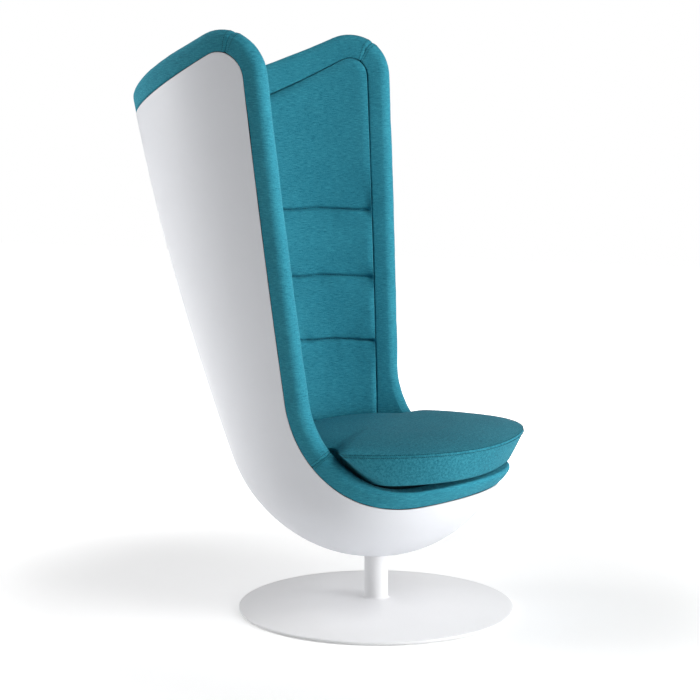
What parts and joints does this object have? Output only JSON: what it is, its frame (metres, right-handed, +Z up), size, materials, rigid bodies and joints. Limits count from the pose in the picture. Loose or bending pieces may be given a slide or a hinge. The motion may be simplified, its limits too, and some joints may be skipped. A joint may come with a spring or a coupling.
{
  "type": "swivel pod lounge chair",
  "caption": "High-backed pod lounge chair: white moulded shell with padded rim, channelled back pad and loose seat cushion on a round swivel base.",
  "frame": {"origin": "on the floor at the swivel axis, the centre of the round base", "axes": "+Z up along the swivel axis; the sitter faces -Y; +X is the side of rim_left"},
  "size_m": [0.8808, 0.9773, 1.4533],
  "materials": {
    "shell_white": "smooth satin-gloss moulded white",
    "base_white": "satin white powder coat",
    "steel": "zinc plated",
    "sheet_black": "matt black",
    "bush_plastic": "natural moulded",
    "edge_black": "matt black extrusion",
    "teal_cloth": "woven wool upholstery, fine cross weave",
    "dark_felt": "dark needled felt and foam",
    "plywood": "birch plywood",
    "zip_black": "coil zip"
  },
  "bodies": {
    "base": {"base_underlay": "sheet_black", "base_disc": "base_white", "column_tube": "base_white", "column_weld": "base_white", "lower_bush": "bush_plastic", "upper_bush": "bush_plastic", "thrust_washer": "edge_black"},
    "chair": {"swivel_hub": "steel", "retaining_washer": "steel", "retaining_screw": "steel", "mounting_plate": "steel", "plate_washers": "steel", "plate_bolts": "steel", "shell_screws": "steel", "outer_shell": "shell_white", "edge_profile": "edge_black", "inner_liner": "dark_felt", "back_pad": "teal_cloth", "rim_front": "teal_cloth", "rim_left": "teal_cloth", "rim_right": "teal_cloth", "rim_top": "teal_cloth", "seat_ledge": "plywood", "seat_board": "plywood", "board_screws": "steel", "seat_base": "dark_felt"},
    "cushion": {"seat_cushion": "teal_cloth", "cushion_zip": "zip_black"}
  },
  "joints": [
    {"name": "swivel", "type": "hinge", "parent": "base", "child": "chair", "pos_m": [0, 0, 0.14], "axis": [0, 0, 1], "continuous": true},
    {"name": "cushion_lift", "type": "slide", "parent": "chair", "child": "cushion", "axis": [0, 0, 1], "range_m": [0, 0.15]}
  ]
}
